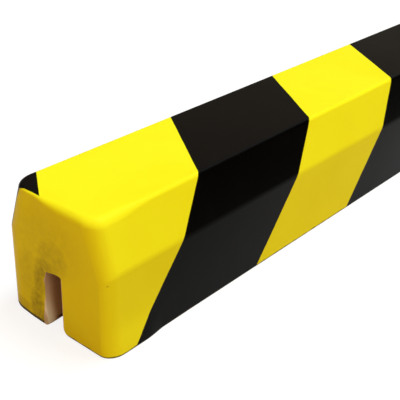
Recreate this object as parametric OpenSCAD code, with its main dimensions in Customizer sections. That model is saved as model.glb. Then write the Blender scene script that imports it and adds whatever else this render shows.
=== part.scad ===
// Impact protection strip: one moulded foam bar that pushes over the edge of a plate.
// The bar lies along Y and stands on its two feet, with the slot between them open downwards.
// It is coated yellow and black in stripes that slant round it, and the slot is left bare.
// The origin is the middle of the feet, Z is up, and all sizes are in millimetres.

/* [Bar] */
// Length over both ends
strip_len = 1000; // [300:10:1500]
// Width across the upright sides
base_w = 40; // [37:0.5:60]
// Height from the feet to the top
strip_h = 37; // [33:0.5:50]
// Width of the flat top, measured where the planes of top and bevels meet
top_w = 31; // [26:0.5:36]
// Height of the upright sides, up to where they meet the planes of the bevels
side_h = 23.5; // [18:0.5:28]

/* [Long edges] */
// Radius between the top and each bevel
crown_r = 1.3; // [0.5:0.1:4]
// Radius between each bevel and the side below it
waist_r = 5; // [1:0.5:8]
// Radius along the outer edge of each foot
foot_r = 0.8; // [0.3:0.1:2]

/* [Ends] */
// Radius on which the sides and bevels turn in to the end faces
end_corner_r = 8; // [3:0.5:10]
// Radius on which the top turns down to the end faces
end_top_r = 3; // [1:0.5:6]

/* [Slot] */
// Width of the slot, less than the plate so that the feet grip it
slot_w = 6.5; // [4:0.5:10]
// Depth of the slot above the feet
slot_h = 17; // [8:0.5:22]
// Radius along the two lips of the slot
lip_r = 1; // [0.3:0.1:2]
// Radius of the upright edges where the slot runs out of the end faces
mouth_r = 1.5; // [0.5:0.1:3]

/* [Stripes] */
// Width of each stripe, measured along the bar
stripe_w = 50.2; // [30:0.1:80]
// Slant of the stripes: how far they run along the bar for each mm round its section
stripe_slant = 0.735; // [0:0.005:1]
// Length of the black along the left edge of the top, from the near end
first_black = 10.4; // [0:0.1:80]
// Rim at each end that the black leaves yellow
yellow_rim = 1.3; // [0.5:0.1:5]
// Rim of bare foam beside the slot, where the coat stops
bare_rim = 0.5; // [0.2:0.1:1]

/* [Hidden] */

// how far a cutter runs past the face that it opens
past = 1;
// flats on each rounding of the loft
end_steps = 10;
foot_steps = 4;
waist_steps = 4;
crown_steps = 8;

// lean of the bevels away from upright
bevel_lean = atan2((base_w - top_w) / 2, strip_h - side_h);
// distance from the origin to the plane of a bevel, square to it
bevel_reach = cos(bevel_lean) * base_w / 2 + sin(bevel_lean) * side_h;
// length of bar over which the ends are rounded
end_depth = max(end_corner_r, end_top_r);

// how far fields of colour reach into each other, so that they join as one solid
join = 0.01;
// how far above the slot a stripe's core line lies, and how many times further out its skin is
core_gap = 2;
skin_reach = 1.1;
// corners that the coat turns over, right half, from the top down to the lip of the slot
coat_corners = [[top_w / 2, strip_h], [base_w / 2, side_h], [base_w / 2, 0], [slot_w / 2, 0]];
// how far round the section each of them lies from the middle of the top
bevel_turn = top_w / 2 + norm(coat_corners[1] - coat_corners[0]);
coat_turns = [top_w / 2, bevel_turn, bevel_turn + side_h, bevel_turn + side_h + (base_w - slot_w) / 2];

// how far a face that turns in on radius r has drawn back, at distance d from the end
function drawn_in(r, d) = d >= r ? 0 : r - sqrt(r * r - (r - d) * (r - d));

function reversed(list) = [for (i = [len(list) - 1 : -1 : 0]) list[i]];

function arc(centre, r, from, to, steps) = [
    for (i = [0 : steps])
        let (angle = from + (to - from) * i / steps)
            centre + r * [cos(angle), sin(angle)]
];

// right half of the section at distance d from the end, from the foot up to the top
function half_section(d) =
    let (
        inset = drawn_in(end_corner_r, d),
        side_x = base_w / 2 - inset,
        top_z = strip_h - drawn_in(end_top_r, d),
        reach = bevel_reach - inset,
        waist_x = side_x - waist_r,
        waist_z = (reach - waist_r - cos(bevel_lean) * waist_x) / sin(bevel_lean),
        crown_z = top_z - crown_r,
        crown_x = (reach - crown_r - sin(bevel_lean) * crown_z) / cos(bevel_lean)
    )
    concat(
        arc([side_x - foot_r, foot_r], foot_r, -90, 0, foot_steps),
        arc([waist_x, waist_z], waist_r, 0, bevel_lean, waist_steps),
        arc([crown_x, crown_z], crown_r, bevel_lean, 90, crown_steps)
    );

// whole section as a ring of points at place y along the bar
function section_ring(y, d) =
    let (half = half_section(d))
        [for (p = concat(half, [for (q = reversed(half)) [-q[0], q[1]]])) [p[0], y, p[1]]];

// The bar without its slot: one section lofted from end to end. It draws in on quarter
// circles at both ends, so that sides, bevels and top all roll into the flat end faces.
module rounded_bar() {
    depths = [for (i = [0 : end_steps]) end_depth * (1 - cos(90 * i / end_steps))];
    rings = concat(
        [for (d = depths) section_ring(d - strip_len / 2, d)],
        [for (d = reversed(depths)) section_ring(strip_len / 2 - d, d)]
    );
    around = len(rings[0]);
    last = len(rings) - 1;
    walls = [
        for (ring = [0 : last - 1], i = [0 : around - 1])
            let (a = ring * around + i, b = ring * around + (i + 1) % around)
                [a, b, b + around, a + around]
    ];
    near_face = [for (i = [around - 1 : -1 : 0]) i];
    far_face = [for (i = [0 : around - 1]) last * around + i];
    polyhedron([for (ring = rings, p = ring) p], concat([near_face, far_face], walls));
}

// Outline of a straight cut with parallel walls and a mouth that opens out on radius r
module flared_cut(width, depth, r) {
    translate([-width / 2, -past])
        square([width, depth + past]);
    difference() {
        translate([-width / 2 - r, -past])
            square([width + 2 * r, r + past]);
        for (side = [-1, 1])
            translate([side * (width / 2 + r), r])
                circle(r, $fn = 48);
    }
}

// The slot along the whole bar, with rounded lips
module slot_cut() {
    translate([0, strip_len / 2 + past, 0])
        rotate([90, 0, 0])
            linear_extrude(strip_len + 2 * past)
                flared_cut(slot_w, slot_h, lip_r);
}

// The rounded way out of the slot at the near end
module slot_mouth() {
    translate([0, -strip_len / 2, -past])
        linear_extrude(slot_h + past)
            flared_cut(slot_w, 2 * mouth_r, mouth_r);
}

// The whole bar, with the slot cut through it and its ways out rounded
module moulded_bar() {
    difference() {
        rounded_bar();
        slot_cut();
        slot_mouth();
        mirror([0, 1, 0])
            slot_mouth();
    }
}

// Edge of a stripe that crosses the middle of the top at place y, from left lip to right lip
function stripe_edge(y) = concat(
    [for (i = [3 : -1 : 0]) [-coat_corners[i][0], y + stripe_slant * coat_turns[i], coat_corners[i][1]]],
    [for (i = [0 : 3]) [coat_corners[i][0], y - stripe_slant * coat_turns[i], coat_corners[i][1]]]
);

// One stripe as a solid, from a core line above the slot out past the skin of the bar
module stripe(y, width) {
    core = [0, y, slot_h + core_gap];
    edge = [for (p = stripe_edge(y)) core + skin_reach * (p - core)];
    along = [0, width, 0];
    points = concat([core], edge, [core + along], [for (p = edge) p + along]);
    last = len(edge);
    next = last + 1;
    near = [for (i = [1 : last - 1]) [0, i, i + 1]];
    far = [for (i = [1 : last - 1]) [next, next + i + 1, next + i]];
    skin = [for (i = [1 : last - 1]) [i, next + i, next + i + 1, i + 1]];
    seams = [[0, next, next + 1, 1], [last, next + last, next, 0]];
    polyhedron(points, concat(near, far, skin, seams));
}

// Where the coat is black: every second stripe, clear of the rims of both ends
module black_stripes(grow = 0) {
    turn = stripe_slant * coat_turns[3];
    first = first_black - strip_len / 2 - stripe_slant * top_w / 2 - stripe_w;
    rim = yellow_rim - grow;
    intersection() {
        union()
            for (y = [first - 2 * stripe_w : 2 * stripe_w : strip_len / 2 + turn])
                if (y + stripe_w + turn > -strip_len / 2)
                    stripe(y - grow, stripe_w + 2 * grow);
        translate([-base_w, rim - strip_len / 2, -past])
            cube([2 * base_w, strip_len - 2 * rim, strip_h + 2 * past]);
    }
}

// Where there is no coat: in the slot and on a narrow rim beside it
module bare_slot(grow = 0) {
    half = slot_w / 2 + bare_rim + grow;
    translate([-half, -strip_len / 2 - past, -past])
        cube([2 * half, strip_len + 2 * past, slot_h + bare_rim + grow + past]);
}

module strip() {
    color("gold")
        difference() {
            moulded_bar();
            black_stripes();
            bare_slot();
        }
    color("#1c1917")
        difference() {
            intersection() {
                moulded_bar();
                black_stripes(join);
            }
            bare_slot();
        }
    color("wheat")
        intersection() {
            moulded_bar();
            bare_slot(join);
        }
}

strip();
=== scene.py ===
"""Looks of an impact protection strip: a moulded foam bar coated yellow and black in stripes.

The bar lies along Y and stands on its two feet, with the slot between them open downwards.
Its near end, at the lowest Y, faces the camera. Lengths are in metres unless a note says more.
"""

import logging
import math
from collections.abc import Callable
from dataclasses import dataclass, field
from enum import Enum

import bmesh
import bpy
from mathutils import Matrix, Vector


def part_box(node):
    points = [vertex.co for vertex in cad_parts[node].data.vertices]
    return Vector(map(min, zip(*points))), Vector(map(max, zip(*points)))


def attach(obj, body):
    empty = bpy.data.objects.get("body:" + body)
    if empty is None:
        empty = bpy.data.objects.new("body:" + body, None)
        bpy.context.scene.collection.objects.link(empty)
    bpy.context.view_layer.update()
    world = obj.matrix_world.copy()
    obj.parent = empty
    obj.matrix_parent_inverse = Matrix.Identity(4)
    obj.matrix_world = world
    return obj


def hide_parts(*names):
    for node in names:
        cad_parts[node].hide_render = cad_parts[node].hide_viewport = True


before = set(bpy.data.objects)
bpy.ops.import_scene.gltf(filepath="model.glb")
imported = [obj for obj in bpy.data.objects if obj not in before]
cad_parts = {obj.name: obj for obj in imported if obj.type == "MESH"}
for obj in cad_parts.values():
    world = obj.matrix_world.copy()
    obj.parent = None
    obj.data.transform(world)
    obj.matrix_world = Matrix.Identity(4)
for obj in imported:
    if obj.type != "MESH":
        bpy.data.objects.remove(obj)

LOG = logging.getLogger("strip")
MM = 0.001
# Two places closer together than this are the same.
TOUCH = 1e-5
# A normal with at least this share of an axis faces along it.
FACING = 0.99

Test = Callable[[Vector, Vector], bool]
Edge = bmesh.types.BMEdge
Socket = bpy.types.NodeSocket
Span = tuple[float, float]
Triple = tuple[float, float, float]
Colour = tuple[float, float, float, float]

# Kinds of socket, and the outputs of an effect that gives a whole surface.
FLOAT = "NodeSocketFloat"
COLOUR = "NodeSocketColor"
SURFACE = {"Colour": COLOUR, "Roughness": FLOAT, "Height": FLOAT}


class Pick(Enum):
    """What an edit-mode selection is made of."""

    VERTS = "VERT"
    FACES = "FACE"


class Axis(Enum):
    """The directions that the bar is cut square to."""

    X = (1, 0, 0)
    Y = (0, 1, 0)
    Z = (0, 0, 1)


class Side(Enum):
    """The two sides of the slot, by the sign of X there."""

    LEFT = -1
    RIGHT = 1


class End(Enum):
    """The two ends of the bar, by the sign of Y there."""

    NEAR = -1
    FAR = 1


def near(a: float, b: float) -> bool:
    """Tells whether two lengths are the same, within a hair."""
    return abs(a - b) < TOUCH


def held(value: float) -> float:
    """Holds a number between 0 and 1."""
    return min(max(value, 0), 1)


def ink(red: float, green: float, blue: float) -> Colour:
    """Gives an opaque colour from its linear red, green and blue."""
    return (red, green, blue, 1.0)


class Bench:
    """A mesh in edit mode, with selections by place and the operators that work on them."""

    def __init__(self, name: str, size: Vector, centre: Vector) -> None:
        """Adds a block and opens it in edit mode.

        Args:
            name: Name of the new piece.
            size: Extent of the block along X, Y and Z.
            centre: Middle of the block.
        """
        bpy.ops.object.select_all(action="DESELECT")
        bpy.ops.mesh.primitive_cube_add(size=1, location=centre, scale=size)
        self.piece = bpy.context.active_object
        self.piece.name = name
        self.piece.data.name = name
        bpy.ops.object.transform_apply(location=True, rotation=True, scale=True)
        bpy.ops.object.mode_set(mode="EDIT")

    def mesh(self) -> bmesh.types.BMesh:
        """Gives the mesh that is being edited."""
        return bmesh.from_edit_mesh(self.piece.data)

    def select(self, pick: Pick, test: Test) -> int:
        """Selects verts or faces by place and direction, and nothing else.

        Args:
            pick: What to select.
            test: Takes the middle of each and its normal, which is zero for a vert.

        Returns:
            How many were selected.
        """
        bpy.ops.mesh.select_mode(type=pick.value)
        bpy.ops.mesh.select_all(action="DESELECT")
        mesh = self.mesh()
        if pick is Pick.VERTS:
            chosen = [v for v in mesh.verts if test(v.co, Vector())]
        else:
            chosen = [f for f in mesh.faces if test(f.calc_center_median(), f.normal)]
        for element in chosen:
            element.select_set(True)
        bmesh.update_edit_mesh(self.piece.data)
        return len(chosen)

    def cut(self, axis: Axis, place: float, test: Test = lambda at, normal: True) -> None:
        """Cuts chosen faces square to an axis.

        Args:
            axis: The axis.
            place: Where along it the cut goes.
            test: Chooses the faces to cut, as select does.
        """
        if self.select(Pick.FACES, test):
            square = Vector(axis.value)
            bpy.ops.mesh.bisect(plane_co=square * place, plane_no=square)

    def bevel(self, reach: Callable[[Edge], float], widest: float, flats: int) -> None:
        """Rounds edges, each with its own reach.

        Args:
            reach: Gives how far the rounding reaches back from an edge on each side.
            widest: The greatest reach.
            flats: How many flats make up one rounding.
        """
        mesh = self.mesh()
        layers = mesh.edges.layers.float
        weight = layers.get("bevel_weight_edge") or layers.new("bevel_weight_edge")
        for edge in mesh.edges:
            edge[weight] = reach(edge) / widest
        rounding = self.close().modifiers.new("rounding", "BEVEL")
        rounding.limit_method = "WEIGHT"
        rounding.width = widest
        rounding.segments = flats
        rounding.use_clamp_overlap = False
        bpy.ops.object.modifier_apply(modifier=rounding.name)
        bpy.ops.object.mode_set(mode="EDIT")

    def close(self) -> bpy.types.Object:
        """Leaves edit mode and gives the piece."""
        bpy.ops.object.mode_set(mode="OBJECT")
        return self.piece


@dataclass(frozen=True)
class Stripes:
    """How the stripes run round and along the bar."""

    width: float = 50.2 * MM
    slant: float = 0.735
    side_stretch: float = 1.06
    first_black: float = 10.4 * MM
    # How far the first edges are out of line, and the gaps over which that fades in.
    nudges: tuple[float, ...] = (0.9 * MM, 0.4 * MM, -0.3 * MM, 0.6 * MM)
    nudge_fade: Span = (32 * MM, 16 * MM)
    # Length and reach of each wave in the painted edges.
    waves: tuple[Span, ...] = ((14 * MM, 0.22 * MM), (2.2 * MM, 0.07 * MM))
    # Rim at each end that the black leaves yellow, except under the feet.
    rim: float = 1.2 * MM
    rim_soft: float = 0.1 * MM
    rim_wave: Span = (4 * MM, 0.25 * MM)
    under_feet: Span = (0.5 * MM, 0.35 * MM)


@dataclass(frozen=True)
class Push:
    """A push that the near end has taken, in millimetres.

    It moves what lies within its spans across the bar, behind the end and above the feet, and
    takes what is joined to that along, less and less within its reach.
    """

    across: Span
    behind: Span
    above: Span
    shift: Triple
    reach: float

    def holds(self, *place: float) -> bool:
        """Tells whether its spans hold a place across, behind and above."""
        spans = (self.across, self.behind, self.above)
        return all(low * MM < at < high * MM for at, (low, high) in zip(place, spans))

    def give(self) -> None:
        """Moves what is selected."""
        bpy.ops.transform.translate(
            value=tuple(part * MM for part in self.shift),
            use_proportional_edit=True,
            use_proportional_connected=True,
            proportional_edit_falloff="SMOOTH",
            proportional_size=self.reach * MM,
        )


@dataclass
class Strip:
    """The moulded bar: its section, its rounded ends and its slot."""

    low: Vector
    high: Vector
    top_width: float = 31 * MM
    side_height: float = 23.5 * MM
    slot_width: float = 6.5 * MM
    slot_height: float = 17 * MM
    crown_radius: float = 1.3 * MM
    waist_radius: float = 5 * MM
    foot_radius: float = 0.3 * MM
    lip_radius: float = 1 * MM
    worn_lip_radius: float = 2 * MM
    root_radius: float = 0.4 * MM
    worn_root_radius: float = 3 * MM
    bare_rim: float = 0.35 * MM
    corner_radius: float = 8 * MM
    # Radius of the near left corner below and above the waist.
    left_corner: Span = (7.9 * MM, 7.4 * MM)
    # Radius of the near right corner, each up to a height.
    square_corner: tuple[Span, ...] = (
        (23.5 * MM, 3.2 * MM),
        (27.5 * MM, 4.0 * MM),
        (31.0 * MM, 4.3 * MM),
        (34.0 * MM, 4.6 * MM),
        (37.0 * MM, 5.0 * MM),
    )
    end_top_radius: float = 2.2 * MM
    # The near top edge is tight left of the first of these, in mm, and full right of the second.
    tight_columns: tuple[int, int] = (-6, 3)
    # Worn and wide roundings fade out behind the corners, over a number of rings.
    fade_length: float = 10 * MM
    fade_margin: float = 0.5 * MM
    fade_rings: int = 6
    corner_segments: int = 14
    edge_segments: int = 6
    # Rings are cut along the whole bar, and finer ones and a grid at its near end.
    station_gap: float = 10 * MM
    first_station: int = 3
    fine_gap: float = 1.5 * MM
    fine_stations: int = 13
    grid_gap: float = 2.5 * MM
    grid_start: float = 1 * MM
    grid_length: float = 60 * MM
    grid_levels: int = 14
    grid_columns: int = 7
    pushes: tuple[Push, ...] = (
        # Outer edge of the right foot, just behind its heel.
        Push((19, 21), (6, 13), (-1, 1), (0.75, 0, 0), 9),
        # Front of the left foot, beside the slot.
        Push((-8, 0), (-1, 1.5), (-1, 1.2), (0.35, -0.5, 0), 8),
        # Lip of the left foot, just inside the slot.
        Push((-4.5, 0), (0.7, 12), (-1, 1.5), (1, 0, 0), 6),
        # Left half of the end's top edge.
        Push((-10, -5), (-1, 1.2), (35, 38), (0, 0.5, 0), 4),
        # Upright edge where the slot's left wall runs out.
        Push((-4, -3), (-1, 0.6), (2, 16), (-0.3, 0.3, 0), 2.2),
        # Worn upper left corner where the slot runs out.
        Push((-4.2, -1.2), (-1, 1), (14.6, 17.4), (0.4, 0, -0.5), 2.5),
    )
    stripes: Stripes = field(default_factory=Stripes)
    bench: Bench = field(init=False)

    @property
    def width(self) -> float:
        """Width across the upright sides."""
        return self.high.x - self.low.x

    @property
    def length(self) -> float:
        """Length over both ends."""
        return self.high.y - self.low.y

    @property
    def height(self) -> float:
        """Height from the feet to the top."""
        return self.high.z - self.low.z

    @property
    def lean(self) -> float:
        """Lean of the bevels away from upright, in radians."""
        return math.atan2((self.width - self.top_width) / 2, self.height - self.side_height)

    def fold_height(self, x: float) -> float:
        """Height of the fold between bevel and side, which is lower on a rounded corner."""
        return self.side_height - (self.width / 2 - abs(x)) * math.tan(self.lean / 2)

    def build(self) -> bpy.types.Object:
        """Models the bar.

        Returns:
            The finished piece, at the origin, with its place in its mesh.
        """
        size = Vector((self.width, self.length, self.height))
        self.bench = Bench("foam_strip", size, Vector((0, 0, self.height / 2)))
        self._lean_bevels()
        self._cut_slot()
        self._round_corners()
        self._round_edges()
        self._add_stations()
        self._mark_slot()
        self._wear_near_end()
        self._smooth()
        return self.bench.piece

    def _lean_bevels(self) -> None:
        """Folds the block at the waist and narrows its top."""
        self.bench.cut(Axis.Z, self.side_height)
        self.bench.select(Pick.VERTS, lambda at, normal: near(at.z, self.height))
        narrow = self.top_width / self.width
        bpy.ops.transform.resize(value=(narrow, 1, 1), center_override=(0, 0, 0))

    def _cut_slot(self) -> None:
        """Opens the slot through both ends and the underside, and lines it."""
        bench, half = self.bench, self.slot_width / 2

        def lower_end(at: Vector, normal: Vector) -> bool:
            """Chooses the faces of both ends below the waist."""
            return abs(normal.y) > FACING and at.z < self.side_height

        def opened(at: Vector, normal: Vector) -> bool:
            """Chooses the faces that the slot goes through: both ends and the underside."""
            return lower_end(at, normal) or normal.z < -FACING

        def mouth(at: Vector, normal: Vector) -> bool:
            """Chooses the parts of those faces that the slot takes away."""
            return opened(at, normal) and abs(at.x) < half and at.z < self.slot_height

        for side in Side:
            bench.cut(Axis.X, side.value * half, opened)
        bench.cut(
            Axis.Z, self.slot_height, lambda at, normal: lower_end(at, normal) and abs(at.x) < half
        )
        bench.select(Pick.FACES, mouth)
        bpy.ops.mesh.delete(type="FACE")
        top = self.slot_height + TOUCH
        for side in Side:
            bench.select(
                Pick.VERTS, lambda at, normal: near(at.x, side.value * half) and at.z < top
            )
            bpy.ops.mesh.edge_face_add()
        bench.select(
            Pick.VERTS,
            lambda at, normal: near(at.z, self.slot_height) and abs(at.x) < half + TOUCH,
        )
        bpy.ops.mesh.edge_face_add()
        for end in End:
            bench.select(Pick.FACES, lambda at, normal: normal.y * end.value > FACING)
            bpy.ops.mesh.dissolve_faces()

    def _corner_reach(self, edge: Edge) -> float:
        """Works out the radius of an edge that runs up an end.

        Args:
            edge: An edge of the bar before its roundings.

        Returns:
            The radius, or zero where it isn't an outer corner.
        """
        a, b = (v.co for v in edge.verts)
        middle = (a + b) / 2
        upright = near(abs(a.y), self.length / 2) and abs(b.z - a.z) > MM
        if not upright or not near(a.y, b.y) or abs(middle.x) < self.top_width / 2:
            return 0
        if middle.y > 0:
            return self.corner_radius
        if middle.x < 0:
            return self.left_corner[0 if middle.z < self.side_height else 1]
        return next(radius for height, radius in self.square_corner if middle.z < height)

    def _round_corners(self) -> None:
        """Rolls the sides and bevels round into the end faces, squarer at the near right."""

        def bevelled(at: Vector, normal: Vector) -> bool:
            """Chooses the ends and bevels above the waist."""
            return at.z > self.side_height and abs(normal.z) < FACING

        for height, radius in self.square_corner[1:-1]:
            self.bench.cut(Axis.Z, height, bevelled)
        self.bench.bevel(self._corner_reach, self.corner_radius, self.corner_segments)

    def _past_corner(self, y: float) -> float:
        """Gives 0 beside an end and its corners, and rises to 1 along the bar behind them."""
        behind = self.length / 2 - abs(y)
        return held((behind - self.corner_radius) / self.fade_length)

    def _top_reach(self, at: Vector) -> float:
        """Works out how far the top's rounding reaches back from its rim.

        Args:
            at: A corner of the rim before it is rounded.

        Returns:
            The reach there, which is wide at the ends and narrow along the bar.
        """
        crown = self.crown_radius * math.tan((math.pi / 2 - self.lean) / 2)
        share = 1 - self._past_corner(at.y)
        if at.y < 0:
            tight, full = self.tight_columns
            share *= held((at.x - tight * MM) / ((full - tight) * MM))
        return crown + (self.end_top_radius - crown) * share

    def _slot_reach(self, edge: Edge) -> float:
        """Works out how far the rounding reaches back from an edge along the slot.

        Args:
            edge: An edge of the bar before its long roundings.

        Returns:
            The reach on each side of it, or zero where it isn't a lip or a root.
        """
        a, b = (v.co for v in edge.verts)
        middle = (a + b) / 2
        if near(a.y, b.y) or not near(abs(middle.x), self.slot_width / 2):
            return 0
        if near(middle.z, 0):
            return self.worn_lip_radius if middle.x > 0 else self.lip_radius
        if near(middle.z, self.slot_height):
            return self.worn_root_radius if middle.x < 0 else self.root_radius
        return 0

    def _outer_reach(self, edge: Edge) -> float:
        """Works out how far the rounding reaches back from any other edge.

        Args:
            edge: An edge of the bar after the slot's lips and roots are rounded.

        Returns:
            The reach on each side of it, or zero where it stays as it is.
        """
        least_fold, slack = 0.01, 0.05 * MM
        a, b = (v.co for v in edge.verts)
        middle = (a + b) / 2
        if edge.calc_face_angle(0) < least_fold:
            return 0
        if near(a.z, self.height) and near(b.z, self.height):
            return self.end_top_radius
        at_end = near(abs(a.y), self.length / 2) and near(a.y, b.y)
        if at_end and middle.z < self.slot_height + TOUCH:
            return self.foot_radius
        if near(a.z, 0) and near(b.z, 0) and abs(middle.x) > self.width / 4:
            return self.foot_radius
        folded = all(abs(v.z - self.fold_height(v.x)) < slack for v in (a, b))
        if folded and abs(middle.x) > self.width / 2 - self.corner_radius:
            return self.waist_radius * math.tan(self.lean / 2)
        return 0

    def _round_edges(self) -> None:
        """Rounds the slot first and then all outer edges, and tightens the roundings in places."""
        bench, half = self.bench, self.slot_width / 2
        for end in End:
            for ring in range(self.fade_rings):
                behind = self.corner_radius + self.fade_margin
                behind += ring * self.fade_length / (self.fade_rings - 1)
                bench.cut(Axis.Y, end.value * (self.length / 2 - behind))
        first_ring = self.corner_radius + 2 * self.fade_margin - self.length / 2

        def near_top(at: Vector, normal: Vector) -> bool:
            """Chooses the faces beside the near end's top edge."""
            flat = abs(normal.z) > FACING or normal.y < -FACING
            return flat and at.y < first_ring and at.z > self.side_height

        tight, full = self.tight_columns
        for column in range(tight, full + 1):
            bench.cut(Axis.X, column * MM, near_top)
        bench.bevel(self._slot_reach, self.worn_lip_radius, self.edge_segments)
        rim = {
            tuple(v.co)
            for edge in bench.mesh().edges
            for v in edge.verts
            if self._outer_reach(edge) == self.end_top_radius
        }
        bench.bevel(self._outer_reach, self.end_top_radius, self.edge_segments)
        self._tighten_top([Vector(at) for at in sorted(rim)])
        lip, root = Vector((half, 0, 0)), Vector((-half, 0, self.slot_height))
        self._tighten_slot(lip, self.worn_lip_radius, self.lip_radius)
        self._tighten_slot(root, self.worn_root_radius, self.root_radius)

    def _tighten_top(self, rim: list[Vector]) -> None:
        """Draws the top's rounding in towards its rim, away from the ends and at the near left.

        Args:
            rim: The corners of the top's rim before it was rounded.
        """
        most, around = 0.99, 1.02 * self.end_top_radius
        for corner in rim:
            scale = self._top_reach(corner) / self.end_top_radius
            if scale > most:
                continue

            def rolled(at: Vector, normal: Vector) -> bool:
                """Chooses the rounding's points that belong to this corner of the rim."""
                beside = (at - corner).length <= around
                return beside and min(rim, key=lambda other: (at - other).length) is corner

            self.bench.select(Pick.VERTS, rolled)
            bpy.ops.transform.resize(value=(scale, scale, scale), center_override=corner)

    def _tighten_slot(self, edge: Vector, worn: float, clean: float) -> None:
        """Draws a worn rounding of the slot in towards its edge, away from the near end.

        Args:
            edge: A point of the edge before it was rounded.
            worn: Radius of the rounding at the near end.
            clean: Its radius along the rest of the bar.
        """
        for place in sorted({round(v.co.y / TOUCH) for v in self.bench.mesh().verts}):
            y = place * TOUCH
            share = 1.0 if y > 0 else self._past_corner(y)
            if share <= 0:
                continue
            scale = 1 + (clean / worn - 1) * share

            def rolled(at: Vector, normal: Vector) -> bool:
                """Chooses the rounding's points at this place along the bar."""
                beside = max(abs(at.x - edge.x), abs(at.z - edge.z)) < worn + TOUCH
                return beside and abs(at.y - y) < TOUCH

            if self.bench.select(Pick.VERTS, rolled):
                bpy.ops.transform.resize(value=(scale, 1, scale), center_override=edge)

    def _add_stations(self) -> None:
        """Cuts rings into the bar, and a grid into its near end, so that both can be shaped."""
        bench, near_end = self.bench, -self.length / 2
        for station in range(1, self.fine_stations + 1):
            bench.cut(Axis.Y, near_end + self.fine_gap * station)
        for station in range(self.first_station, round(self.length / self.station_gap)):
            bench.cut(Axis.Y, near_end + self.station_gap * station)

        def at_near_end(at: Vector, normal: Vector) -> bool:
            """Chooses the faces that the near end's grid is cut into."""
            return at.y < near_end + self.grid_length

        for level in range(1, self.grid_levels + 1):
            bench.cut(Axis.Z, self.grid_gap * level, at_near_end)
        for column in range(1, self.grid_columns + 1):
            for side in Side:
                across = self.grid_gap * column + self.grid_start
                bench.cut(Axis.X, side.value * across, at_near_end)

    def _mark_slot(self) -> None:
        """Gives the faces inside the slot the second material and all others the first."""
        half, endwise = self.slot_width / 2 + TOUCH, 0.7
        for face in self.bench.mesh().faces:
            at = face.calc_center_median()
            inside = abs(at.x) < half and at.z < self.slot_height + TOUCH
            face.material_index = int(inside and abs(face.normal.y) < endwise)

    def _wear_near_end(self) -> None:
        """Pushes the near end out of line in the places where handling has done so."""
        near_end = -self.length / 2
        for push in self.pushes:
            self.bench.select(
                Pick.VERTS, lambda at, normal: push.holds(at.x, at.y - near_end, at.z)
            )
            push.give()

    def _smooth(self) -> None:
        """Shades the roundings smooth and keeps the flats flat."""
        piece = self.bench.close()
        bpy.ops.object.shade_smooth()
        flats = piece.modifiers.new("flats", "WEIGHTED_NORMAL")
        flats.weight = 100
        flats.keep_sharp = True
        bpy.ops.object.modifier_apply(modifier=flats.name)


class Sheet:
    """A node tree with short calls for the nodes that the finishes use."""

    def __init__(self, tree: bpy.types.NodeTree) -> None:
        """Takes the tree to work on."""
        self.tree = tree

    def feed(self, node: bpy.types.Node, inputs: dict[object, object]) -> None:
        """Links outputs to a node's inputs, or sets them where the value is plain.

        Args:
            node: The node.
            inputs: The value of each input, by its name or number.
        """
        for name, value in inputs.items():
            if isinstance(value, Socket):
                self.tree.links.new(value, node.inputs[name])
            else:
                node.inputs[name].default_value = value

    def add(
        self, kind: str, inputs: dict[object, object] | None = None, **settings: object
    ) -> bpy.types.Node:
        """Adds a node.

        Args:
            kind: Blender's name of the node type.
            inputs: What to feed it.
            **settings: Properties to set on it first.

        Returns:
            The new node.
        """
        node = self.tree.nodes.new(kind)
        for name, value in settings.items():
            setattr(node, name, value)
        self.feed(node, inputs or {})
        return node

    def math(self, operation: str, *values: object, clamp: bool = False) -> Socket:
        """Works out one number from one or two, by Blender's name of the operation."""
        inputs = dict(enumerate(values))
        return self.add("ShaderNodeMath", inputs, operation=operation, use_clamp=clamp).outputs[0]

    def plus(self, a: object, b: object) -> Socket:
        """Adds two numbers."""
        return self.math("ADD", a, b)

    def minus(self, a: object, b: object) -> Socket:
        """Takes the second number away from the first."""
        return self.math("SUBTRACT", a, b)

    def times(self, a: object, b: object) -> Socket:
        """Multiplies two numbers."""
        return self.math("MULTIPLY", a, b)

    def most(self, a: object, b: object) -> Socket:
        """Gives the greater of two numbers."""
        return self.math("MAXIMUM", a, b)

    def step(self, value: object, low: object, high: object) -> Socket:
        """Rises smoothly from 0 to 1 while a number goes from low to high."""
        inputs = {"Value": value, "From Min": low, "From Max": high}
        return self.add("ShaderNodeMapRange", inputs, interpolation_type="SMOOTHSTEP").outputs[0]

    def mix(self, share: object, first: object, second: object) -> Socket:
        """Mixes two colours by the share of the second."""
        inputs = {0: share, 6: first, 7: second}
        return self.add("ShaderNodeMix", inputs, data_type="RGBA").outputs[2]

    def blend(self, share: object, first: object, second: object) -> Socket:
        """Mixes two numbers by the share of the second."""
        inputs = {0: share, 2: first, 3: second}
        return self.add("ShaderNodeMix", inputs, data_type="FLOAT").outputs[0]


class Spot:
    """A place on the bar, as outputs: its X, Y and Z, and how far it is across and from an end."""

    def __init__(self, sheet: Sheet, strip: Strip) -> None:
        """Adds the nodes that read the place.

        Args:
            sheet: The nodes to add to.
            strip: The bar.
        """
        self.sheet = sheet
        self.place = sheet.add("ShaderNodeTexCoord").outputs["Object"]
        self.x, self.y, self.z = sheet.add("ShaderNodeSeparateXYZ", {0: self.place}).outputs
        self.across = sheet.math("ABSOLUTE", self.x)
        self.to_end = sheet.minus(strip.length / 2, sheet.math("ABSOLUTE", self.y))

    def noise(self, size: float, detail: float = 2, rough: float = 0.5) -> Socket:
        """Gives a soft random pattern around 0.5, with blots of about a size."""
        inputs = {"Vector": self.place, "Scale": 1 / size, "Detail": detail, "Roughness": rough}
        return self.sheet.add("ShaderNodeTexNoise", inputs).outputs["Fac"]

    def waver(self, value: object, size: float, reach: float) -> Socket:
        """Shifts a length by chance as paint does, in waves of a size and reach."""
        centred = self.sheet.minus(self.noise(size), 0.5)
        return self.sheet.plus(value, self.sheet.times(centred, 2 * reach))


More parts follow.
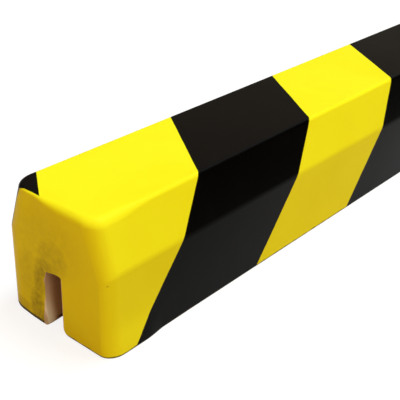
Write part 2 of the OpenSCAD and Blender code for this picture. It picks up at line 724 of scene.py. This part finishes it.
class Effect:
    """A shader node group with named inputs and outputs, which the finishes share."""

    def __init__(self, name: str, inputs: dict[str, float], outputs: dict[str, str]) -> None:
        """Makes the group and its sockets.

        Args:
            name: Name of the group.
            inputs: Each input's name and its value.
            outputs: Each output's name and its kind of socket.
        """
        self.group = bpy.data.node_groups.new(name, "ShaderNodeTree")
        sockets = self.group.interface
        for socket, value in inputs.items():
            made = sockets.new_socket(name=socket, in_out="INPUT", socket_type=FLOAT)
            made.default_value = value
        for socket, kind in outputs.items():
            sockets.new_socket(name=socket, in_out="OUTPUT", socket_type=kind)
        self.sheet = Sheet(self.group)
        self.given = self.sheet.add("NodeGroupInput").outputs
        self.result = self.sheet.add("NodeGroupOutput")

    def use(self, sheet: Sheet) -> bpy.types.NodeOutputs:
        """Places the group in a material and gives its outputs."""
        return sheet.add("ShaderNodeGroup", node_tree=self.group).outputs


@dataclass(frozen=True)
class CoatEdges:
    """How the coat stops at the slot, and how it drifts into it."""

    softness: float = 0.1 * MM
    rim_wave: Span = (2 * MM, 0.2 * MM)
    roof_gap: float = 0.4 * MM
    roof_curve: float = 0.8
    drift_wave: Span = (5 * MM, 0.8 * MM)
    drift_height: Span = (1.7 * MM, 1.0 * MM)
    drift_start: Span = (1.5 * MM, 4 * MM)


class Coverage:
    """Where the coat lies on the bar, and where it is black."""

    def __init__(self, strip: Strip, edges: CoatEdges) -> None:
        """Builds the effect that the coat and the slot share.

        Args:
            strip: The bar that the coat lies on.
            edges: How the coat stops at the slot.
        """
        self.strip = strip
        self.edges = edges
        outputs = {"Black": FLOAT, "Coat": FLOAT, "Drift": FLOAT}
        self.effect = Effect("coat coverage", {"Softness": edges.softness}, outputs)
        self.sheet = self.effect.sheet
        self.soft = self.effect.given["Softness"]
        self.spot = Spot(self.sheet, strip)
        masks = {"Black": self._black(), "Coat": self._coat(), "Drift": self._drift()}
        self.sheet.feed(self.effect.result, masks)

    def _around(self) -> Socket:
        """Works out how far round the section a place lies from the middle of the top.

        Returns:
            The distance round the section.
        """
        sheet, spot, strip = self.sheet, self.spot, self.strip
        half_top = strip.top_width / 2
        below_top = sheet.math("LESS_THAN", spot.z, strip.height - strip.end_top_radius)
        on_top = sheet.math("MINIMUM", spot.across, half_top)
        turn = sheet.blend(below_top, on_top, half_top)
        drop = sheet.minus(strip.height, spot.z)
        bevel = sheet.math("MINIMUM", drop, strip.height - strip.side_height)
        down_bevel = sheet.math("DIVIDE", bevel, math.cos(strip.lean))
        down_side = sheet.most(sheet.minus(strip.side_height, spot.z), 0)
        down_side = sheet.times(down_side, strip.stripes.side_stretch)
        under = sheet.math("LESS_THAN", spot.z, strip.foot_radius)
        inward = sheet.minus(strip.width / 2, spot.across)
        for part in (down_bevel, down_side, sheet.times(under, inward)):
            turn = sheet.plus(turn, part)
        return turn

    def _black(self) -> Socket:
        """Gives the field of the black stripes.

        Returns:
            1 in the black stripes and 0 elsewhere.
        """
        sheet, spot, strip, stripes = self.sheet, self.spot, self.strip, self.strip.stripes
        turned = sheet.times(sheet.math("SIGN", spot.x), self._around())
        slid = sheet.times(turned, stripes.slant)
        start = strip.length / 2 + stripes.slant * strip.top_width / 2 - stripes.first_black
        along = sheet.plus(sheet.plus(spot.y, start), slid)
        for size, reach in stripes.waves:
            along = spot.waver(along, size, reach)
        regular = along
        for number, nudge in enumerate(stripes.nudges):
            gap = sheet.math("ABSOLUTE", sheet.minus(regular, number * stripes.width))
            along = sheet.plus(along, sheet.times(sheet.step(gap, *stripes.nudge_fade), nudge))
        half_on = sheet.plus(along, stripes.width / 2)
        wave = sheet.math("PINGPONG", half_on, stripes.width)
        edge = sheet.minus(stripes.width / 2, wave)
        black = sheet.step(edge, sheet.times(self.soft, -1), self.soft)
        ragged = spot.waver(spot.to_end, *stripes.rim_wave)
        rim, rim_soft = stripes.rim, stripes.rim_soft
        clear = sheet.step(ragged, rim - rim_soft, rim + rim_soft)
        under = sheet.step(spot.z, *stripes.under_feet)
        return sheet.times(black, sheet.most(clear, under))

    def _coat(self) -> Socket:
        """Gives the coat as it stops beside the slot.

        Returns:
            1 on the coat and 0 on the foam that it leaves bare.
        """
        sheet, spot, strip, edges = self.sheet, self.spot, self.strip, self.edges
        ragged = spot.waver(spot.across, *edges.rim_wave)
        rim = strip.slot_width / 2 + strip.bare_rim
        past = sheet.step(ragged, sheet.minus(rim, self.soft), sheet.plus(rim, self.soft))
        turned = sheet.minus(strip.worn_root_radius - strip.slot_width / 2, spot.x)
        turned = sheet.most(turned, 0)
        curve = edges.roof_curve / strip.worn_root_radius
        drop = sheet.times(sheet.times(turned, turned), curve)
        roof = strip.slot_height - edges.roof_gap
        below = sheet.math("LESS_THAN", sheet.plus(spot.z, drop), roof)
        return sheet.minus(1, sheet.times(sheet.minus(1, past), below))

    def _drift(self) -> Socket:
        """Gives the coat that has drifted up the walls of the slot from the feet.

        Returns:
            1 under the drifted coat and 0 on the clean foam.
        """
        sheet, spot, edges = self.sheet, self.spot, self.edges
        low = sheet.step(spot.waver(spot.z, *edges.drift_wave), *edges.drift_height)
        return sheet.times(low, sheet.step(spot.to_end, *edges.drift_start))


@dataclass(frozen=True)
class Smudge:
    """A touch of dirt on the near end, by its place and reach across and up in millimetres."""

    x: float
    z: float
    wide: float
    tall: float
    depth: float


@dataclass(frozen=True)
class FoamFinish:
    """Bare moulded foam, as the slot shows it: pale, dry and full of fine cells."""

    pale: Colour = ink(0.78, 0.62, 0.46)
    deep: Colour = ink(0.6, 0.4, 0.25)
    deep_share: float = 0.8
    cloud_size: float = 9 * MM
    # Painted shade: the foam darkens into the slot, standing in for the shade deeper inside it.
    painted_slot_shade: Colour = ink(0.43, 0.27, 0.16)
    painted_slot_shade_depth: Span = (0.1 * MM, 3.8 * MM)
    # Painted light: the foam is near-white low in the mouth of the slot, where the lips catch
    # light from the floor.
    painted_lip_light: Colour = ink(0.95, 0.95, 0.95)
    lip_light_height: Span = (14 * MM, 1 * MM)
    lip_light_drift: float = 5 * MM
    lip_light_depth: Span = (3.4 * MM, 0.2 * MM)
    # It is soiled where it stands out past the end.
    soiled: Colour = ink(0.4, 0.31, 0.12)
    soil_depth: Span = (0, -0.5 * MM)
    soil_share: float = 0.6
    cell: float = 0.55 * MM
    cell_depth: float = 0.025 * MM
    cell_smoothness: float = 0.4
    pore: Span = (0.15, 0.75)
    pore_tint: float = 0.55
    roughness: float = 0.92

    def effect(self, strip: Strip) -> Effect:
        """Builds the foam's colour, roughness and relief as one effect.

        Args:
            strip: The bar that it fills.

        Returns:
            The group, with outputs Colour, Roughness and Height.
        """
        made = Effect("bare foam", {"Cell Depth": self.cell_depth}, SURFACE)
        sheet, spot = made.sheet, Spot(made.sheet, strip)
        grid = {"Vector": spot.place, "Scale": 1 / self.cell, "Smoothness": self.cell_smoothness}
        cells = sheet.add("ShaderNodeTexVoronoi", grid, feature="SMOOTH_F1")
        pore = sheet.step(cells.outputs["Distance"], *self.pore)
        cloud = spot.noise(self.cloud_size, 3)
        tint = sheet.math("MULTIPLY", cloud, sheet.blend(pore, 1.0, self.pore_tint), clamp=True)
        # Painted shade: the slot's foam turns darker away from the end.
        inside = sheet.mix(sheet.step(spot.to_end, *self.painted_slot_shade_depth), self.pale, self.painted_slot_shade)
        colour = sheet.mix(sheet.times(tint, self.deep_share), inside, self.deep)
        # Painted light on the lips: near-white low in the mouth of the slot and close to the end.
        drift = sheet.times(sheet.minus(cloud, 0.5), self.lip_light_drift)
        low = sheet.step(sheet.plus(spot.z, drift), *self.lip_light_height)
        lip_light_share = sheet.times(low, sheet.step(spot.to_end, *self.lip_light_depth))
        colour = sheet.mix(lip_light_share, colour, self.painted_lip_light)
        soil = sheet.times(sheet.step(spot.to_end, *self.soil_depth), self.soil_share)
        results = {
            "Colour": sheet.mix(soil, colour, self.soiled),
            "Roughness": sheet.blend(pore, self.roughness, 1.0),
            "Height": sheet.times(sheet.minus(1, pore), made.given["Cell Depth"]),
        }
        sheet.feed(made.result, results)
        return made


@dataclass(frozen=True)
class CoatFinish:
    """The satin coat, yellow with black stripes, with its fine skin, marks and dirt."""

    yellow: Colour = ink(0.93, 0.89, 0.014)
    deep_yellow: Colour = ink(0.9, 0.84, 0.01)
    cloud_size: float = 30 * MM
    cloud_share: Span = (0.35, 0.75)
    black: Colour = ink(0.0012, 0.001, 0.0008)
    worn_black: Colour = ink(0.003, 0.0026, 0.0022)
    worn_size: float = 6 * MM
    worn_share: Span = (0.52, 0.78)
    yellow_roughness: float = 0.45
    black_roughness: float = 0.36
    uneven_roughness: float = 0.16
    specular: float = 0.038
    peel: float = 1.3 * MM
    peel_depth: float = 0.006 * MM
    grain: float = 0.28 * MM
    grain_depth: float = 0.0025 * MM
    # Painted contact shadow: a dark line along the bottom edges of the feet, reaching higher on
    # the left foot than on the right.
    painted_contact_shadow: Colour = ink(0.03, 0.022, 0.008)
    shadow_line_heights: Span = (1.3 * MM, 0.75 * MM)
    shadow_line_change: Span = (-1 * MM, 1 * MM)
    shadow_line_wave: Span = (4 * MM, 0.7 * MM)
    shadow_line_edge: Span = (0.25 * MM, -0.05 * MM)
    shadow_line_share: float = 0.9
    dirt: Colour = ink(0.14, 0.09, 0.02)
    dirt_size: float = 1.5 * MM
    dirt_breaks: Span = (0.2, 0.75)
    dirt_cover: Span = (0.55, 1.1)
    dirt_depth: Span = (4 * MM, 1 * MM)
    smudge_edge: float = 1.3
    smudges: tuple[Smudge, ...] = (
        Smudge(-2.0, 25.0, 15.0, 11.0, 0.14),
        Smudge(0.3, 21.5, 7.0, 6.5, 0.32),
        Smudge(-1.8, 18.2, 5.5, 2.8, 0.44),
        Smudge(-4.0, 15.5, 1.8, 2.8, 0.62),
        Smudge(-5.2, 12.3, 2.7, 6.3, 0.56),
        Smudge(-4.0, 2.0, 1.2, 4.0, 0.6),
        Smudge(-6.3, 5.0, 3.4, 6.0, 0.62),
        Smudge(-9.0, 13.0, 5.0, 11.0, 0.22),
        Smudge(-11.5, 2.0, 6.0, 2.5, 0.25),
        Smudge(19.0, 21.3, 0.24, 0.28, 0.42),
    )

    def effect(self, strip: Strip, coverage: Coverage) -> Effect:
        """Builds the coat's colour, roughness and relief as one effect.

        Args:
            strip: The bar that it lies on.
            coverage: Where it is black.

        Returns:
            The group, with outputs Colour, Roughness and Height.
        """
        depths = {"Peel Depth": self.peel_depth, "Grain Depth": self.grain_depth}
        made = Effect("striped coat", depths, SURFACE)
        sheet, spot = made.sheet, Spot(made.sheet, strip)
        black = coverage.effect.use(sheet)["Black"]
        cloud = spot.noise(self.cloud_size, 3, 0.6)
        yellow = sheet.mix(sheet.step(cloud, *self.cloud_share), self.yellow, self.deep_yellow)
        worn = sheet.step(spot.noise(self.worn_size, 5, 0.7), *self.worn_share)
        dark = sheet.mix(worn, self.black, self.worn_black)
        colour = sheet.mix(black, yellow, dark)
        colour = sheet.mix(self._dirt_mask(spot), colour, self.dirt)
        shine = sheet.blend(black, self.yellow_roughness, self.black_roughness)
        uneven = sheet.times(sheet.minus(cloud, 0.5), self.uneven_roughness)
        peel = sheet.times(spot.noise(self.peel, 2), made.given["Peel Depth"])
        grain = sheet.times(spot.noise(self.grain, 1), made.given["Grain Depth"])
        results = {
            # Painted contact shadow: the coat is darkened along the bottom edges of the feet.
            "Colour": sheet.mix(self._contact_shadow_mask(spot), colour, self.painted_contact_shadow),
            "Roughness": sheet.plus(shine, uneven),
            "Height": sheet.plus(peel, grain),
        }
        sheet.feed(made.result, results)
        return made

    def _contact_shadow_mask(self, spot: Spot) -> Socket:
        """Gives the dark line painted along the bottom edges of the feet as their contact shadow.

        Args:
            spot: The place.

        Returns:
            How strongly the painted contact shadow covers the coat.
        """
        sheet = spot.sheet
        size, reach = self.shadow_line_wave
        top = sheet.blend(sheet.step(spot.x, *self.shadow_line_change), *self.shadow_line_heights)
        wave = sheet.times(spot.noise(size, 3), reach)
        past = sheet.minus(sheet.plus(spot.z, wave), top)
        return sheet.times(sheet.step(past, *self.shadow_line_edge), self.shadow_line_share)

    def _dirt_mask(self, spot: Spot) -> Socket:
        """Gives the dirt rubbed into the near end beside the slot.

        Args:
            spot: The place.

        Returns:
            How strongly the dirt covers the coat.
        """
        sheet, total = spot.sheet, 0
        for smudge in self.smudges:
            off_x = sheet.math("DIVIDE", sheet.minus(spot.x, smudge.x * MM), smudge.wide * MM)
            off_z = sheet.math("DIVIDE", sheet.minus(spot.z, smudge.z * MM), smudge.tall * MM)
            square = sheet.plus(sheet.times(off_x, off_x), sheet.times(off_z, off_z))
            touch = sheet.times(sheet.step(square, self.smudge_edge, 0.0), smudge.depth)
            total = sheet.most(total, touch)
        blots = sheet.step(spot.noise(self.dirt_size, 3, 0.6), *self.dirt_breaks)
        broken = sheet.times(total, sheet.blend(blots, *self.dirt_cover))
        near_half = sheet.math("LESS_THAN", spot.y, 0)
        near_end = sheet.times(near_half, sheet.step(spot.to_end, *self.dirt_depth))
        return sheet.times(broken, near_end)


class Dressing:
    """Makes the materials of the bar from its finishes and puts them on its faces."""

    def __init__(self, strip: Strip, coat: CoatFinish, foam: FoamFinish) -> None:
        """Builds the effects that both materials share.

        Args:
            strip: The bar to dress.
            coat: Its coat.
            foam: Its bare foam.
        """
        self.specular = coat.specular
        self.coverage = Coverage(strip, CoatEdges())
        self.coat_effect = coat.effect(strip, self.coverage)
        self.foam_effect = foam.effect(strip)

    def _material(self, name: str, mask: str) -> bpy.types.Material:
        """Makes a material that is foam under its share of coat.

        Args:
            name: Name of the material.
            mask: The coverage that gives the share of coat.

        Returns:
            The material.
        """
        material = bpy.data.materials.new(name)
        material.use_nodes = True
        sheet = Sheet(material.node_tree)
        coat, foam = self.coat_effect.use(sheet), self.foam_effect.use(sheet)
        share = self.coverage.effect.use(sheet)[mask]
        height = sheet.blend(share, foam["Height"], coat["Height"])
        relief = sheet.add("ShaderNodeBump", {"Distance": 1.0, "Height": height})
        surface = {
            "Base Color": sheet.mix(share, foam["Colour"], coat["Colour"]),
            "Roughness": sheet.blend(share, foam["Roughness"], coat["Roughness"]),
            "Specular IOR Level": self.specular,
            "Normal": relief.outputs["Normal"],
        }
        sheet.feed(material.node_tree.nodes["Principled BSDF"], surface)
        return material

    def dress(self, piece: bpy.types.Object) -> None:
        """Gives the bar its two materials, in the order that its faces ask for."""
        for name, mask in (("striped_coat", "Coat"), ("slot_foam", "Drift")):
            piece.data.materials.append(self._material(name, mask))


@dataclass(frozen=True)
class Lamp:
    """A soft, far lamp: the light it brings to a face turned to it, and where it comes from."""

    name: str
    level: float
    colour: Triple
    towards: Triple
    spread: float = 75.0

    def hang(self) -> None:
        """Adds the lamp to the scene."""
        lamp = bpy.data.lights.new(self.name, "SUN")
        lamp.energy = self.level * math.pi
        lamp.color = self.colour
        lamp.angle = math.radians(self.spread)
        holder = bpy.data.objects.new(self.name, lamp)
        holder.rotation_euler = Vector(self.towards).to_track_quat("Z", "Y").to_euler()
        bpy.context.scene.collection.objects.link(holder)


class Plane:
    """A plane of the studio, with the nodes of a material of its own."""

    def __init__(self, name: str, size: Span, place: Triple, turn: float = 0) -> None:
        """Adds the plane.

        Args:
            name: Name of the plane and its material.
            size: Its length along X and Y before it is turned.
            place: Its middle.
            turn: Its turn about Y, in radians.
        """
        bpy.ops.object.select_all(action="DESELECT")
        bpy.ops.mesh.primitive_plane_add(size=1, location=place, rotation=(0, turn, 0))
        self.piece = bpy.context.active_object
        self.piece.name = name
        self.piece.scale = (*size, 1)
        bpy.ops.object.transform_apply(location=True, rotation=True, scale=True)
        material = bpy.data.materials.new(name)
        material.use_nodes = True
        self.sheet = Sheet(material.node_tree)
        self.sheet.tree.nodes.remove(self.sheet.tree.nodes["Principled BSDF"])
        self.piece.data.materials.append(material)

    def cover(self, surface: Socket) -> None:
        """Gives the plane its surface."""
        self.sheet.feed(self.sheet.tree.nodes["Material Output"], {0: surface})


@dataclass(frozen=True)
class Card:
    """A dim upright card beside the bar, which shows only in its gloss."""

    name: str
    x: float
    height: float
    glow: Colour
    length: float = 4.0

    def stand(self) -> None:
        """Stands the card on the floor."""
        size, place = (self.height, self.length), (self.x, 0, self.height / 2)
        plane = Plane(self.name, size, place, math.pi / 2)
        plane.cover(plane.sheet.add("ShaderNodeEmission", {"Color": self.glow}).outputs[0])
        card = plane.piece
        for ray in ("camera", "diffuse", "transmission", "shadow"):
            setattr(card, "visible_" + ray, False)


@dataclass
class Studio:
    """Floor, lamps, surroundings and camera."""

    cards: tuple[Card, ...] = (
        Card("right_card", 0.08, 1.0, ink(0, 0, 0)),
        Card("left_card", -0.6, 1.5, ink(0.37, 0.31, 0.24)),
    )
    lamps: tuple[Lamp, ...] = (
        Lamp("top_light", 0.9, (0.75, 0.92, 1.0), (0.1, 0.36, 1.0), 30.0),
        Lamp("side_light", 0.37, (1.0, 0.95, 0.48), (1.0, 0.0, 0.8)),
        Lamp("front_light", 0.31, (1.0, 0.77, 0.4), (0.1, -1.0, 0.3)),
    )
    ambient: Colour = ink(0.16, 0.005, 0.002)
    floor_size: float = 8.0
    floor_gap: float = 0.05 * MM
    floor_glow: float = 0.84
    floor_shine: Colour = ink(0.22, 0.22, 0.22)
    floor_bounce: Colour = ink(0.42, 0.3, 0.3)
    camera_place: Triple = (0.13972, -0.61097, 0.1328)
    camera_aim: Triple = (0.02539, -0.47361, 0.037)
    camera_roll: float = 1.894
    lens: float = 75.35

    def set_up(self) -> None:
        """Sets the whole studio up round the object."""
        self._lay_floor()
        for card in self.cards:
            card.stand()
        for lamp in self.lamps:
            lamp.hang()
        self._surround()
        self._place_camera()
        bpy.context.scene.view_settings.view_transform = "Standard"

    def _choose(self, sheet: Sheet, lights: Socket, shows: Socket) -> Socket:
        """Lets a surface light other things in one way and show in another.

        Args:
            sheet: The nodes to add to.
            lights: What lights other things.
            shows: What is seen, straight or in a gloss.

        Returns:
            The output that holds both.
        """
        ray = sheet.add("ShaderNodeLightPath").outputs
        seen = sheet.most(ray["Is Camera Ray"], ray["Is Glossy Ray"])
        seen = sheet.most(seen, ray["Is Transmission Ray"])
        return sheet.add("ShaderNodeMixShader", {0: seen, 1: lights, 2: shows}).outputs[0]

    def _lay_floor(self) -> None:
        """Lays the plain white floor just under the feet."""
        size = (self.floor_size, self.floor_size)
        plane = Plane("studio_floor", size, (0, 0, -self.floor_gap))
        sheet = plane.sheet
        glow = sheet.add("ShaderNodeEmission", {"Strength": self.floor_glow})
        paint = sheet.add("ShaderNodeBsdfDiffuse", {"Color": self.floor_shine})
        lit = sheet.add("ShaderNodeAddShader", {0: glow.outputs[0], 1: paint.outputs[0]})
        bounce = sheet.add("ShaderNodeBsdfDiffuse", {"Color": self.floor_bounce})
        plane.cover(self._choose(sheet, bounce.outputs[0], lit.outputs[0]))

    def _surround(self) -> None:
        """Makes the surroundings white to look at and dim to be lit by."""
        world = bpy.data.worlds.new("studio")
        world.use_nodes = True
        bpy.context.scene.world = world
        sheet, nodes = Sheet(world.node_tree), world.node_tree.nodes
        sheet.feed(nodes["Background"], {"Color": self.ambient})
        white = sheet.add("ShaderNodeBackground", {"Color": ink(1, 1, 1)})
        look = self._choose(sheet, nodes["Background"].outputs[0], white.outputs[0])
        sheet.feed(nodes["World Output"], {0: look})

    def _place_camera(self) -> None:
        """Places the camera at the photograph's angle."""
        camera = bpy.data.cameras.new("camera")
        camera.lens = self.lens
        camera.clip_start = 1 * MM
        holder = bpy.data.objects.new("camera", camera)
        ahead = Vector(self.camera_aim) - Vector(self.camera_place)
        look = ahead.to_track_quat("-Z", "Y").to_matrix()
        roll = Matrix.Rotation(math.radians(self.camera_roll), 3, "Z")
        holder.rotation_euler = (look @ roll).to_euler()
        holder.location = self.camera_place
        bpy.context.scene.collection.objects.link(holder)
        bpy.context.scene.camera = holder


def main() -> None:
    """Builds the strip and its studio, and reports them."""
    logging.basicConfig(level=logging.INFO, format="%(name)s: %(message)s")
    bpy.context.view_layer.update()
    Studio().set_up()
    strip = Strip(*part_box("strip"))
    piece = strip.build()
    Dressing(strip, CoatFinish(), FoamFinish()).dress(piece)
    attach(piece, "root")
    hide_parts("strip")
    LOG.info("%s: %d faces", piece.name, len(piece.data.polygons))


if __name__ == "__main__":
    main()
